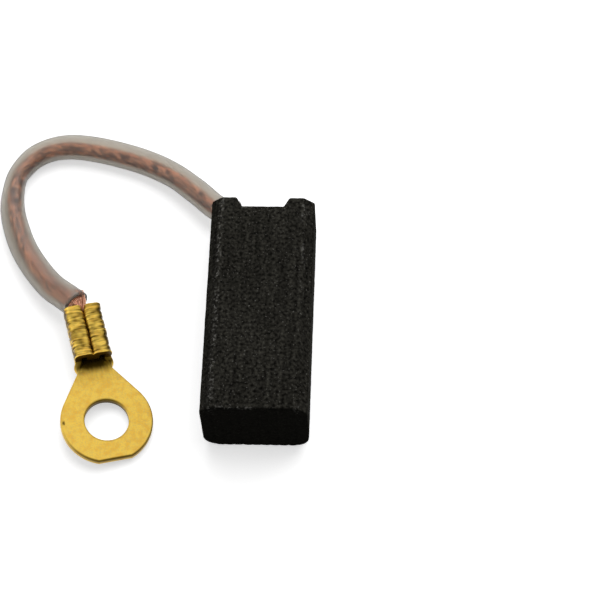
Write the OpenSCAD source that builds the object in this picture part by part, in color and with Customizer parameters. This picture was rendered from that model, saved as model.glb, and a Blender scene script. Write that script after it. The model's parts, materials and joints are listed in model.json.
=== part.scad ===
// Carbon brush with a sleeved copper lead and a crimped ring terminal.
// Millimetres. The block lies on a wide face: X runs across it, Y along it and Z up.
// The contact face looks along -Y. The origin is under the middle of the block.

/* [Block] */
// Width of the block, across the contact face
block_w = 10; // [9:0.5:14]
// Thickness of the block, from its underside to its top
block_t = 8; // [7:0.5:12]
// Length of the block, from the contact face to the horns at its rear
block_l = 22.7; // [16:0.1:32]
// Chamfer along the two upper long edges
top_chamfer = 1; // [0.4:0.1:1.6]
// Radius along the two lower long edges
bottom_radius = 1.7; // [0.6:0.1:2.4]

/* [Rear groove] */
// Width of the groove's floor
groove_floor_w = 4.1; // [3.4:0.1:4.6]
// Width of the groove at its mouth, between the two horns
groove_mouth_w = 5.1; // [4.7:0.1:6.4]
// Depth of the groove
groove_depth = 1; // [0.6:0.1:1.6]

/* [Contact face] */
// Number of fine bedding grooves across the contact face, an even number
bedding_count = 10; // [2:2:10]
// Distance from one bedding groove to the next
bedding_pitch = 0.86; // [0.6:0.02:0.9]
// Width of a bedding groove at the face
bedding_w = 0.24; // [0.14:0.02:0.5]
// Depth of a bedding groove
bedding_depth = 0.1; // [0.06:0.02:0.3]

/* [Lead] */
// Diameter of the bare copper flex
flex_d = 1.5; // [1.2:0.05:1.6]
// Outer diameter of the sleeve
sleeve_d = 2.5; // [2.3:0.05:2.5]
// Bore of the sleeve
sleeve_bore = 1.8; // [1.75:0.05:2]
// Diameter of the hole in the block that takes the flex
hole_d = 2.7; // [2:0.1:3.2]
// Depth of that hole, from the groove's floor to its full diameter's end
hole_depth = 5.5; // [3:0.5:8]
// How far the tamped filling stops below the groove's floor
filling_recess = 0.3; // [0.1:0.1:1]
// Gap between the flex and what is packed or folded round it
packing_gap = 0.02; // [0.01:0.01:0.05]

/* [Terminal ring] */
// Thickness of the terminal's brass sheet
sheet = 0.7; // [0.5:0.05:0.8]
// Outer diameter of the ring
ring_d = 8.8; // [8.4:0.1:10]
// Diameter of the eye
eye_d = 4.2; // [3.2:0.1:5.3]
// Distance from the eye's centre to the cropped tip
tip_reach = 4.1; // [3.7:0.05:4.4]
// Width of the neck
neck_w = 3.4; // [3:0.1:3.8]
// Distance from the eye's centre to the end of the flat neck
neck_reach = 5.4; // [5.2:0.1:6]

/* [Terminal barrel] */
// Length over which the neck turns up into a trough
trough_rise = 0.9; // [0.6:0.1:2]
// Length of the crimped barrel
barrel_l = 5.5; // [4:0.1:8]
// Width of the crimped barrel
barrel_w = 3.6; // [3.4:0.05:4]
// Height of the crimped barrel
barrel_h = 2.4; // [2.2:0.05:2.8]
// Outer radius of the trough's two lower corners
trough_radius = 1; // [0.85:0.05:1.2]
// Height of the curled wings' tips above the barrel's underside
wing_tip_h = 1.25; // [1.1:0.05:1.4]
// Gap of the seam where the two wings meet
seam_gap = 0.06; // [0.04:0.01:0.1]
// Number of ribs that the crimping die leaves along the barrel
rib_count = 6; // [3:1:9]
// Width of the groove between two ribs
rib_gap = 0.25; // [0.15:0.05:0.4]
// How far a rib stands out
rib_h = 0.08; // [0.04:0.01:0.12]
// How much further the mouth's lip stands out, at the ring's end
lip_h = 0.1; // [0.04:0.01:0.15]
// Length of that lip
lip_l = 0.4; // [0.2:0.05:0.6]

/* [Terminal pose] */
// Place of the eye's centre, left of the block's middle
eye_left = 14.4; // [13:0.05:16]
// Place of the eye's centre, in front of the block's rear end
eye_front = 20.95; // [20:0.05:22]
// Direction from the eye to the barrel, from +X towards +Y
terminal_heading = 106.5; // [100:0.5:112]
// How far the barrel's end is tilted up
terminal_pitch = 2; // [0:0.5:4]
// How far the terminal leans over to its right
terminal_roll = 9; // [4:0.5:12]

/* [Hidden] */
$fn = 64;

// Extra length of a cutting tool, so that no cut ends in a face
past = 0.5;
// Height of the drill's cone at the bottom of the hole
drill_cone_h = hole_d / 4;

rear = block_l / 2;
groove_floor = rear - groove_depth;
hole_end = groove_floor - hole_depth;
// The flex stops this far from the bottom of the hole
flex_end_clearance = 0.5;

// Sides of the lead's tubes
tube_sides = 8;
// The lead's middle line from the groove round to the terminal. Each point has X,
// the distance behind the block's rear end, and the height above the surface.
lead_points = [
    [-0.2, -0.3, 3.8], [-0.7, 0.4, 3.4], [-1.6, 0.95, 2.85], [-2.8, 1.4, 2.35],
    [-4, 1.6, 2.1], [-5.2, 2.1, 2], [-7.3, 4.1, 1.7], [-9.6, 6.1, 1.5],
    [-12.3, 7.7, 1.3], [-15.1, 8.8, 1.25], [-18, 9.5, 1.25], [-20.5, 9.7, 1.25],
    [-22.4, 9.3, 1.25], [-24, 8.2, 1.25], [-25.2, 6.4, 1.25], [-25.7, 4.4, 1.25],
    [-25.6, 2.2, 1.25], [-25, -0.3, 1.25], [-24, -2.6, 1.3], [-22.4, -5.1, 1.6],
    [-20.7, -7.1, 1.95], [-19.4, -8, 2.2], [-18.4, -8.7, 2.4],
];
// The sleeve starts at this point of the lead and runs to the last one
sleeve_first = 3;
lead_route = [for (p = lead_points) [p.x, rear + p.y, p.z]];

// The neck turns up over this many short steps, and each bend has this many
rise_steps = 8;
bend_steps = 5;
// Radius of the trough's corners at the middle of the sheet
bend_radius = trough_radius - sheet / 2;
bend_length = bend_radius * PI / 2;
// The sheet's edge stays this straight outside the bend where the neck is flat
edge_straight = 0.05;
// Height of the trough's straight walls where the wings start
wall_straight = 0.2;
// The turned-up neck is let this far into the barrel, and is this much thinner there
let_in = 0.15;
let_in_relief = 0.03;

barrel_start = neck_reach + trough_rise;
barrel_end = barrel_start + barrel_l;
lobe_radius = barrel_w / 4;
lobe_centre_h = barrel_h - lobe_radius;
// The flex's middle where it enters the barrel
flex_h = barrel_h / 2 + 0.15;
// Outside the barrel it takes its round form over the first of these two lengths
flex_out = 0.25;
flex_straight = 0.7;
// The flex's end stops this far inside the barrel's ring end
strand_recess = 0.3;

// The terminal leans on its ring's lowest edge
terminal_tilt = acos(cos(terminal_pitch) * cos(terminal_roll));
eye_place = [-eye_left, rear - eye_front, ring_d / 2 * sin(terminal_tilt)];
terminal_turn = [terminal_roll, -terminal_pitch, terminal_heading];

function unit(v) = v / norm(v);
function between(a, b, share) = a + (b - a) * share;
function ease(share) = share * share * (3 - 2 * share);

// Matrix products for a turn about X, then Y, then Z, as rotate() does it
function turn_x(a, v) = [v.x, v.y * cos(a) - v.z * sin(a), v.y * sin(a) + v.z * cos(a)];
function turn_y(a, v) = [v.x * cos(a) + v.z * sin(a), v.y, -v.x * sin(a) + v.z * cos(a)];
function turn_z(a, v) = [v.x * cos(a) - v.y * sin(a), v.x * sin(a) + v.y * cos(a), v.z];
function turned(a, v) = turn_z(a.z, turn_y(a.y, turn_x(a.x, v)));
// A point of the terminal's own frame, in the brush's frame
function on_terminal(v) = eye_place + turned(terminal_turn, v);

// A ring of points round a place on a line that runs along direction
function tube_ring(place, direction, radius) =
    let (side = unit(cross(direction, [0, 0, 1])), up = cross(side, direction))
    [for (i = [0:tube_sides - 1])
        let (a = 360 * (i + 0.5) / tube_sides)
        place + radius * (cos(a) * side + sin(a) * up)];

function direction_at(line, i) =
    unit(line[min(i + 1, len(line) - 1)] - line[max(i - 1, 0)]);

function tube_rings(line, radius) =
    [for (i = [0:len(line) - 1]) tube_ring(line[i], direction_at(line, i), radius)];

// Side faces between rings of n points each
function skin_faces(rings, n, first = 0, inside = false) =
    [for (r = [0:rings - 2], i = [0:n - 1])
        let (
            a = first + r * n + i,
            b = first + r * n + (i + 1) % n,
            quad = [a, b, b + n, a + n]
        )
        inside ? [quad[3], quad[2], quad[1], quad[0]] : quad];

module solid_tube(line, radius) {
    n = tube_sides;
    rings = tube_rings(line, radius);
    last = (len(line) - 1) * n;
    polyhedron(
        points = [for (ring = rings) each ring],
        faces = concat(
            skin_faces(len(rings), n),
            [[for (i = [n - 1:-1:0]) i]],
            [[for (i = [0:n - 1]) last + i]]
        )
    );
}

module hollow_tube(line, radius, bore_radius) {
    n = tube_sides;
    outer = tube_rings(line, radius);
    inner = tube_rings(line, bore_radius);
    half = len(line) * n;
    last = half - n;
    polyhedron(
        points = concat([for (ring = outer) each ring], [for (ring = inner) each ring]),
        faces = concat(
            skin_faces(len(outer), n),
            skin_faces(len(inner), n, half, true),
            [for (i = [0:n - 1])
                let (j = (i + 1) % n)
                [half + i, half + j, j, i]],
            [for (i = [0:n - 1])
                let (j = (i + 1) % n)
                [last + i, last + j, half + last + j, half + last + i]]
        )
    );
}

// The block's section across its length, with its underside on the X axis
module block_section() {
    flat = block_w / 2 - bottom_radius;
    intersection() {
        union() {
            for (side = [-1, 1])
                translate([side * flat, bottom_radius])
                    circle(bottom_radius);
            translate([-flat, 0])
                square([2 * flat, block_t]);
            translate([-block_w / 2, bottom_radius])
                square([block_w, block_t - bottom_radius]);
        }
        polygon([
            [-block_w / 2, 0],
            [block_w / 2, 0],
            [block_w / 2, block_t - top_chamfer],
            [block_w / 2 - top_chamfer, block_t],
            [-block_w / 2 + top_chamfer, block_t],
            [-block_w / 2, block_t - top_chamfer],
        ]);
    }
}

// The groove through the block's rear end, as a cutter
module rear_groove() {
    slope = (groove_mouth_w - groove_floor_w) / 2 / groove_depth;
    outer_w = groove_mouth_w + 2 * slope * past;
    translate([0, 0, -past])
        linear_extrude(block_t + 2 * past)
            polygon([
                [-groove_floor_w / 2, groove_floor],
                [groove_floor_w / 2, groove_floor],
                [outer_w / 2, rear + past],
                [-outer_w / 2, rear + past],
            ]);
}

// One V-shaped bedding groove in the contact face, as a cutter
module bedding_groove() {
    slope = bedding_w / 2 / bedding_depth;
    outer_w = bedding_w + 2 * slope * past;
    translate([0, -rear, -past])
        linear_extrude(block_t + 2 * past)
            polygon([[0, bedding_depth], [-outer_w / 2, -past], [outer_w / 2, -past]]);
}

module flex_hole() {
    translate([0, groove_floor, block_t / 2])
        rotate([90, 0, 0]) {
            translate([0, 0, -past])
                cylinder(h = hole_depth + past, d = hole_d);
            translate([0, 0, hole_depth])
                cylinder(h = drill_cone_h, d1 = hole_d, d2 = 0);
        }
}

// Pressed carbon-graphite block
module carbon_block() {
    color("#2b2b2c")
        difference() {
            translate([0, rear, 0])
                rotate([90, 0, 0])
                    linear_extrude(block_l)
                        block_section();
            rear_groove();
            for (i = [0:bedding_count - 1])
                translate([(i - (bedding_count - 1) / 2) * bedding_pitch, 0, 0])
                    bedding_groove();
            flex_hole();
        }
}

// Conductive powder tamped round the flex in the block's hole
module tamping_plug() {
    flex_hole_r = flex_d / 2 + packing_gap;
    color("#4a3a32")
        translate([0, groove_floor - filling_recess, block_t / 2])
            rotate([90, 0, 0])
                difference() {
                    cylinder(h = hole_depth - filling_recess, r = hole_d / 2 - packing_gap);
                    translate([0, 0, -past])
                        cylinder(
                            h = hole_depth - filling_recess - flex_end_clearance + past,
                            r = flex_hole_r
                        );
                }
}

// Bare copper flex, from its end in the block to its end in the barrel
module copper_flex() {
    line = concat(
        [[0, hole_end + flex_end_clearance + packing_gap, block_t / 2]],
        [[0, groove_floor, block_t / 2]],
        lead_route,
        [on_terminal([barrel_end + flex_straight, 0, flex_h])],
        [on_terminal([barrel_end + flex_out, 0, flex_h])]
    );
    color("#b8704a") {
        solid_tube(line, flex_d / 2);
        translate(eye_place)
            rotate(terminal_turn)
                along_barrel(barrel_start + strand_recess, barrel_end + 2 * flex_out)
                    barrel_cavity(packing_gap);
    }
}

// Clear soft sleeve over the flex
module sleeve() {
    line = [for (i = [sleeve_first:len(lead_route) - 1]) lead_route[i]];
    color("#c9c2bd")
        hollow_tube(line, sleeve_d / 2, sleeve_bore / 2);
}

// The flat ring and its tapering neck, seen from above, with the barrel along +X
module ring_outline() {
    corner = [neck_reach, neck_w / 2];
    reach = norm(corner);
    touch = atan2(corner.y, corner.x) + acos(ring_d / 2 / reach);
    tangent = ring_d / 2 * [cos(touch), sin(touch)];
    difference() {
        union() {
            circle(d = ring_d);
            polygon([
                [tangent.x, tangent.y],
                [corner.x, corner.y],
                [corner.x, -corner.y],
                [tangent.x, -tangent.y],
            ]);
        }
        translate([-tip_reach - ring_d, -ring_d / 2])
            square(ring_d);
    }
}

// A point of the sheet's section at the length along it from the middle, and at
// the given height over the sheet's middle plane. The sheet is flat up to
// flat_half and then bends up with one curvature over bend_length.
function sheet_point(along, over, flat_half, bend_angle) =
    let (
        bent = min(max(along - flat_half, 0), bend_length),
        a = bend_angle * bent / bend_length,
        r = bend_angle > 0 ? bend_length / (bend_angle * PI / 180) : 0,
        run = bend_angle > 0 ? r * sin(a) : bent,
        rise = bend_angle > 0 ? r * (1 - cos(a)) : 0,
        straight = max(along - flat_half - bend_length, 0)
    )
    [
        min(along, flat_half) + run + straight * cos(a) - over * sin(a),
        sheet / 2 + rise + straight * sin(a) + over * cos(a)
    ];

// Places along half of the sheet's section, from the start of the bend to the edge,
// where the neck turns up: share runs from 0, flat, to 1, the trough
function half_flat(share) =
    between(neck_w / 2 - bend_length - edge_straight, neck_w / 2 - trough_radius, share);

function half_places(share) =
    let (flat_half = half_flat(share))
    concat(
        [for (i = [0:bend_steps]) flat_half + bend_length * i / bend_steps],
        [flat_half + bend_length + between(edge_straight, wall_straight, share)]
    );

// One face of the sheet there, from its left edge to its right one
function sheet_face(share, over) =
    let (
        half = [for (s = half_places(share)) sheet_point(s, over, half_flat(share), 90 * share)],
        n = len(half)
    )
    concat([for (i = [n - 1:-1:0]) [-half[i].x, half[i].y]], half);

function rising_section(share) =
    let (
        half = sheet / 2 - let_in_relief * share,
        under = sheet_face(share, -half),
        over = sheet_face(share, half),
        n = len(over)
    )
    concat(under, [for (i = [n - 1:-1:0]) over[i]]);

// The stretch where the flat neck turns up into the barrel's trough
module turned_up_neck() {
    stations = concat(
        [for (i = [0:rise_steps])
            [neck_reach + trough_rise * i / rise_steps, ease(i / rise_steps)]],
        [[barrel_start + let_in, 1]]
    );
    sections = [for (s = stations) [for (p = rising_section(s[1])) [s[0], p.x, p.y]]];
    n = len(sections[0]);
    last = (len(sections) - 1) * n;
    polyhedron(
        points = [for (section = sections) each section],
        faces = concat(
            skin_faces(len(sections), n, 0, true),
            [for (i = [0:n / 2 - 2]) [i, i + 1, n - 2 - i, n - 1 - i]],
            [for (i = [0:n / 2 - 2]) [last + n - 1 - i, last + n - 2 - i, last + i + 1, last + i]]
        )
    );
}

// Extrudes a section of the barrel from one distance to another along it
module along_barrel(from, to) {
    translate([from, 0, 0])
        rotate([90, 0, 90])
            linear_extrude(to - from)
                children();
}

// The outline of the crimped barrel's section, trimmed all round by trim
module barrel_outline(trim) {
    corner = barrel_w / 2 - trough_radius;
    for (side = [-1, 1]) {
        translate([side * lobe_radius, lobe_centre_h])
            circle(lobe_radius - trim);
        translate([side * corner, trough_radius])
            circle(trough_radius - trim);
    }
    translate([-corner, trim])
        square([2 * corner, lobe_centre_h - trim]);
    translate([trim - barrel_w / 2, trough_radius])
        square([barrel_w - 2 * trim, lobe_centre_h - trough_radius]);
}

// The room that the strands fill between the trough's floor and the curled wings
module barrel_cavity(gap) {
    inner_half = barrel_w / 2 - sheet;
    corner_r = trough_radius - sheet;
    difference() {
        union() {
            for (side = [-1, 1]) {
                translate([side * (inner_half - corner_r), trough_radius])
                    circle(corner_r - gap);
                translate([side * lobe_radius, lobe_centre_h])
                    circle(lobe_radius - sheet - gap);
            }
            translate([gap - inner_half, trough_radius])
                square([2 * (inner_half - gap), lobe_centre_h - trough_radius]);
            translate([corner_r - inner_half, sheet + gap])
                square([2 * (inner_half - corner_r), corner_r]);
        }
        for (side = [-1, 1]) {
            translate([side * sheet / 2, wing_tip_h + sheet / 2])
                circle(sheet / 2 + gap);
        }
        translate([-sheet - gap, wing_tip_h + sheet / 2])
            square([2 * (sheet + gap), barrel_h]);
    }
}

module barrel_solid() {
    pitch = (barrel_l + rib_gap) / rib_count;
    along_barrel(barrel_start, barrel_end)
        barrel_outline(rib_h);
    for (i = [0:rib_count - 1])
        along_barrel(barrel_start + i * pitch, barrel_start + (i + 1) * pitch - rib_gap)
            barrel_outline(0);
    along_barrel(barrel_start, barrel_start + lip_l)
        barrel_outline(-lip_h);
}

// Ring terminal, folded from one brass sheet and crimped on the flex
module ring_terminal() {
    color("#c9a227")
        translate(eye_place)
            rotate(terminal_turn)
                difference() {
                    union() {
                        linear_extrude(sheet)
                            ring_outline();
                        turned_up_neck();
                        difference() {
                            barrel_solid();
                            along_barrel(barrel_start - past, barrel_end + past)
                                barrel_cavity(0);
                            translate([barrel_start - past, -seam_gap / 2, wing_tip_h])
                                cube([barrel_l + 2 * past, seam_gap, barrel_h]);
                        }
                    }
                    translate([0, 0, -past])
                        cylinder(h = sheet + 2 * past, d = eye_d);
                }
}

carbon_block();
tamping_plug();
copper_flex();
sleeve();
ring_terminal();
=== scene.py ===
"""Finished look of a carbon brush: pressed graphite block, sleeved copper lead and brass ring terminal.

Every size is in metres, in the frame of the exact parts: the origin is under the middle of the
block, the contact face looks along -Y and the lead leaves the block's rear end along +Y.
"""

import json
import math

import bmesh
import bpy
from bpy.props import FloatProperty, FloatVectorProperty, IntProperty, PointerProperty
from mathutils import Matrix, Vector, geometry, noise


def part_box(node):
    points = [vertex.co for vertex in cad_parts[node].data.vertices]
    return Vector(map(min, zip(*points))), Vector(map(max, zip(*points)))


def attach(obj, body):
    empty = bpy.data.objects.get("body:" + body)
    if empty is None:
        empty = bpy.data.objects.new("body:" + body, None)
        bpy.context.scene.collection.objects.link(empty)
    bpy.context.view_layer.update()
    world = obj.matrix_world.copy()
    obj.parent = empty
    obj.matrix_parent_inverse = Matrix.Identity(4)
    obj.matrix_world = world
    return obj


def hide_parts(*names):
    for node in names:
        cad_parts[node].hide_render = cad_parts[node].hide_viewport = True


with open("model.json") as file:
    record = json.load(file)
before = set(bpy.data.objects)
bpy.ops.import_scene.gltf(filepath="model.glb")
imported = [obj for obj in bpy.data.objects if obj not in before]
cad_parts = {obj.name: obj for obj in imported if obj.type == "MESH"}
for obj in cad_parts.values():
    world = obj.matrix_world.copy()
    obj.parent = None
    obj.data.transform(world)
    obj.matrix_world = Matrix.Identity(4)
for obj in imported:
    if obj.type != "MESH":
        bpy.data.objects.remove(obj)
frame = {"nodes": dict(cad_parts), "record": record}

bl_info = {
    "name": "Carbon Brush",
    "version": (1, 0, 0),
    "blender": (4, 5, 0),
    "location": "3D View > Sidebar > Carbon Brush",
    "description": "Builds the finished look of a carbon brush with a crimped ring terminal",
    "category": "Add Mesh",
}

MM = 0.001
BODY = "root"

BLOCK_LOW, BLOCK_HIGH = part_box("carbon_block")
REAR = BLOCK_HIGH.y
FRONT = BLOCK_LOW.y

# The lead's middle line from the groove round to the terminal, in millimetres: X, the distance
# behind the block's rear end, and the height above the surface
LEAD_POINTS_MM = [
    (-0.2, -0.3, 3.8), (-0.7, 0.4, 3.4), (-1.6, 0.95, 2.85), (-2.8, 1.4, 2.35),
    (-4, 1.6, 2.1), (-5.2, 2.1, 2), (-7.3, 4.1, 1.7), (-9.6, 6.1, 1.5),
    (-12.3, 7.7, 1.3), (-15.1, 8.8, 1.25), (-18, 9.5, 1.25), (-20.5, 9.7, 1.25),
    (-22.4, 9.3, 1.25), (-24, 8.2, 1.25), (-25.2, 6.4, 1.25), (-25.7, 4.4, 1.25),
    (-25.6, 2.2, 1.25), (-25, -0.3, 1.25), (-24, -2.6, 1.3), (-22.4, -5.1, 1.6),
    (-20.7, -7.1, 1.95), (-19.4, -8, 2.2), (-18.4, -8.7, 2.4),
]
# The sleeve starts at this point of the lead and runs to the last one
SLEEVE_FIRST = 3
# How the soft sleeve sits round the flex at each of its points, in millimetres: its width, and
# how far it hangs towards the outside of the bend
SLEEVE_FIT_MM = [
    (2.5, 0.12), (2.52, 0.25), (2.6, 0.34), (2.63, 0.32), (2.6, 0.27),
    (2.63, 0.22), (2.7, 0.12), (2.7, 0.12), (2.6, 0.14), (2.5, 0.14),
    (2.5, 0.19), (2.5, 0.08), (2.46, -0.03), (2.6, 0), (2.7, -0.1),
    (2.72, -0.12), (2.75, -0.12), (2.8, -0.12), (2.8, 0), (2.8, 0.15),
]
# The tight bend buckled the sleeve's inner side at this point of the lead, and this far round it
KINK = 14
KINK_REACH = 3 * MM
# How deep the buckle goes in the sleeve's outer and inner wall
BUCKLE_OUTSIDE = 0.5 * MM
BUCKLE_INSIDE = 0.2 * MM
# The flex's width where it is drawn tight in the sleeve, as a share of its nominal size, and how
# much of that it gains again near the terminal
FLEX_SLIM = 0.88
FLEX_SPREAD = 0.2
# The flex leaves the block from the middle of the rear groove's floor, and starts in the hole
# there, this far short of the hole's bottom
GROOVE_DEPTH_MM = 1.0
HOLE_DEPTH_MM = 5.5
FLEX_END_GAP_MM = 0.52
FLEX_EXIT = (0, REAR - GROOVE_DEPTH_MM * MM, BLOCK_HIGH.z / 2)
# How far the strands stop short of the barrel's front
STRAND_RECESS = 1.0 * MM
# How far the flex lies above the middle of the barrel
FLEX_LIFT = 0.15 * MM
# Distance between two rings of points along a strand, and along the sleeve
STRAND_STEP = 0.4 * MM
SLEEVE_STEP = 0.35 * MM
# The small dent near the ring's left edge, from the eye's centre
NICK = Vector((0.46 * MM, 4.05 * MM))
# The floor lies this far under the object, so that no two faces share a plane, and reaches this
# far out from the origin
FLOOR_GAP = 0.02 * MM
FLOOR_HALF = 2.0
# How much the paper is lifted towards white, only as it is seen
PAPER_GLOW = 0.55


# ---------------------------------------------------------------- settings


def linear(hex_colour):
    """Linear red, green and blue of an sRGB hex colour such as "#c9a227"."""
    shares = [int(hex_colour[i : i + 2], 16) / 255 for i in (1, 3, 5)]
    return tuple(s / 12.92 if s <= 0.04045 else ((s + 0.055) / 1.055) ** 2.4 for s in shares)


def length_setting(name, description, default_mm):
    """A length in the user's unit, with its default given in millimetres."""
    return FloatProperty(
        name=name, description=description, default=default_mm * MM, unit="LENGTH", precision=5
    )


def angle_setting(name, description, default_deg):
    """An angle in the user's unit, with its default given in degrees."""
    return FloatProperty(
        name=name, description=description, default=math.radians(default_deg), unit="ROTATION"
    )


def colour_setting(name, description, hex_colour):
    """A colour that the user can pick, with its default given as an sRGB hex colour."""
    return FloatVectorProperty(
        name=name,
        description=description,
        default=linear(hex_colour),
        subtype="COLOR",
        min=0,
        max=1,
    )


class BRUSH_PG_block(bpy.types.PropertyGroup):
    """Pressed carbon-graphite block"""

    grid: length_setting("Grid", "Distance between the lines of the block's mesh", 0.16)
    chamfer: length_setting("Chamfer", "Chamfer along the upper long edges", 1.0)
    round_radius: length_setting("Round", "Radius along the lower long edges", 1.7)
    groove_floor_w: length_setting("Groove floor", "Width of the rear groove's floor", 4.1)
    groove_mouth_w: length_setting("Groove mouth", "Width of the rear groove's mouth", 5.1)
    groove_depth: length_setting("Groove depth", "Depth of the rear groove", GROOVE_DEPTH_MM)
    bedding_count: IntProperty(
        name="Bedding grooves", description="Grooves across the contact face", default=10, min=2
    )
    bedding_pitch: length_setting("Bedding pitch", "Distance between bedding grooves", 0.86)
    bedding_w: length_setting("Bedding width", "Width of a bedding groove", 0.24)
    bedding_depth: length_setting("Bedding depth", "Depth of a bedding groove", 0.1)
    hole_d: length_setting("Hole", "Diameter of the hole for the flex", 2.7)
    hole_depth: length_setting("Hole depth", "Depth of the hole for the flex", HOLE_DEPTH_MM)
    colour: colour_setting("Graphite", "Pressed graphite", "#262521")
    fleck: colour_setting("Flecks", "Bright graphite flakes", "#8d8b86")


class BRUSH_PG_lead(bpy.types.PropertyGroup):
    """Copper flex and its sleeve"""

    flex_d: length_setting("Flex", "Diameter of the bare copper flex", 1.5)
    layers: IntProperty(
        name="Layers", description="Rings of strands round the middle strand", default=5, min=2
    )
    lay: length_setting("Lay", "Length in which a strand turns once round the flex", 14.0)
    sleeve_d: length_setting("Sleeve", "Outer diameter of the sleeve", 2.5)
    sleeve_bore: length_setting("Sleeve bore", "Inner diameter of the sleeve", 1.8)
    copper: colour_setting("Copper", "Bare copper strand", "#ffc0a0")
    # Also the colour of the painted shade on the strands
    copper_dark: colour_setting("Dulled copper", "Copper in the hollows", "#64301a")
    sleeve: colour_setting("Sleeve", "Clear silicone", "#dad4c9")
    # The rim colour partly stands for a painted dark reflection at the sleeve's edge
    sleeve_rim: colour_setting("Sleeve's rim", "Clear silicone seen along its wall", "#787671")
    dust: colour_setting("Copper dust", "Dust that the flex left in the sleeve's bore", "#8a4a2c")


class BRUSH_PG_terminal(bpy.types.PropertyGroup):
    """Ring terminal, one sheet of brass"""

    sheet: length_setting("Sheet", "Thickness of the brass sheet", 0.7)
    edge: length_setting("Edge", "Rounding of the sheet's cut edges", 0.12)
    ring_d: length_setting("Ring", "Outer diameter of the ring", 8.8)
    eye_d: length_setting("Eye", "Diameter of the eye", 4.2)
    tip_reach: length_setting("Tip", "Distance from the eye's centre to the cropped tip", 4.1)
    neck_w: length_setting("Neck", "Width of the neck", 3.4)
    neck_reach: length_setting("Neck reach", "Eye's centre to the end of the flat neck", 5.4)
    trough_rise: length_setting("Rise", "Length over which the neck becomes a trough", 0.9)
    barrel_l: length_setting("Barrel", "Length of the crimped barrel", 5.5)
    barrel_w: length_setting("Barrel width", "Width of the crimped barrel", 3.6)
    barrel_h: length_setting("Barrel height", "Height of the crimped barrel", 2.4)
    trough_radius: length_setting("Corner", "Outer radius of the barrel's lower corners", 1.0)
    wing_tip_h: length_setting("Wing tips", "Height of the wings' tips over the underside", 1.25)
    wall_straight: length_setting("Wall", "Straight wall between trough and wing", 0.2)
    seam_gap: length_setting("Seam", "Gap where the two wings meet", 0.06)
    rib_count: IntProperty(
        name="Ribs", description="Ribs that the die leaves", default=6, min=2
    )
    rib_gap: length_setting("Rib gap", "Width of the groove between two ribs", 0.25)
    rib_h: length_setting("Rib height", "How far a rib stands out", 0.08)
    lip_h: length_setting("Lip", "How far the mouth of the barrel flares", 0.1)
    lip_l: length_setting("Lip length", "Length of the flare", 0.4)
    heading: angle_setting("Heading", "Direction from the eye to the barrel", 106.5)
    pitch: angle_setting("Pitch", "How far the barrel's end is tilted up", 2.0)
    roll: angle_setting("Roll", "How far the terminal leans to its right", 9.0)
    brass: colour_setting("Brass", "Rolled yellow brass", "#ecc656")
    # Colour of die polish and of the painted highlights on the barrel
    burnish_highlight: colour_setting("Burnished", "Brass that the die polished", "#fbe694")
    # Also the colour of the painted shade inside the barrel, at its seam, mouth and cut edges and at
    # the ring's edges
    tarnish_shade_colour: colour_setting("Tarnish", "Brass dulled in the hollows", "#4a390b")


class BRUSH_PG_studio(bpy.types.PropertyGroup):
    """Camera, floor and light"""

    camera_place: FloatVectorProperty(
        name="Camera",
        description="Place of the camera",
        default=(0.0125357, -0.0931737, 0.1776672),
        subtype="TRANSLATION",
    )
    camera_aim: FloatVectorProperty(
        name="Aim",
        description="Point on the floor that the camera looks at",
        default=(0.0035482, 0.0044546, 0.0),
        subtype="TRANSLATION",
    )
    camera_roll: angle_setting("Roll", "Turn of the camera about its view", -3.7796)
    lens: FloatProperty(
        name="Lens", description="Focal length in millimetres", default=123.695, unit="CAMERA"
    )
    floor: colour_setting("Floor", "Pale floor as light bounces off it", "#6e6e6e")
    backdrop: colour_setting("Backdrop", "Floor and backdrop as they are seen", "#ffffff")
    surround: colour_setting("Surround", "Light that comes from all round", "#767676")
    key_power: FloatProperty(
        name="Key", description="Power of the main lamp", default=2.2, unit="POWER"
    )
    fill_power: FloatProperty(
        name="Fill", description="Power of the weak lamp from the left", default=0.2, unit="POWER"
    )


# ---------------------------------------------------------------- shared helpers


# Settings of a Map Range node that rises softly. The value goes in at 0, its range at 1 and 2,
# and the range that comes out, where it isn't 0 to 1, at 3 and 4
SOFT_RISE = {"interpolation_type": "SMOOTHSTEP"}
# Settings of a Mix node for colours. The second colour's share goes in at 0 and the colours at
# 6 and 7, and the mix comes out at 2
COLOURS = {"data_type": "RGBA"}


def add_node(tree, kind, inputs=None, **settings):
    """Adds a shader node, sets its settings and fills its inputs with values or other sockets."""
    node = tree.nodes.new(kind)
    for name, value in settings.items():
        setattr(node, name, value)
    for key, value in (inputs or {}).items():
        if isinstance(value, bpy.types.NodeSocket):
            tree.links.new(value, node.inputs[key])
        else:
            node.inputs[key].default_value = value
    return node


def new_material(name):
    """A material and its empty node tree."""
    material = bpy.data.materials.new(name)
    material.use_nodes = True
    material.node_tree.nodes.clear()
    return material, material.node_tree


def rgba(colour):
    """A linear colour as a colour socket takes it, with full opacity."""
    return (*colour, 1)


def place_in_mm(tree, stretch=(1, 1, 1)):
    """The surface's own place in millimetres, with each axis multiplied by stretch."""
    place = add_node(tree, "ShaderNodeTexCoord").outputs["Object"]
    scale = [1 / MM * s for s in stretch]
    return add_node(
        tree, "ShaderNodeMapping", {"Vector": place, "Scale": scale}
    ).outputs["Vector"]


def bumps(size_mm):
    """Scale at which a noise texture over millimetres has bumps of about that size."""
    return 0.5 / size_mm


def smoothstep(low, high, value):
    """0 up to low, 1 from high on, and a soft rise between them."""
    share = min(max((value - low) / (high - low), 0), 1)
    return share * share * (3 - 2 * share)


def grain(place, size, seed):
    """Smooth noise from -1 to 1 whose bumps are about size across."""
    return noise.noise(place / size + Vector((seed, -seed, 2 * seed)))


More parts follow.
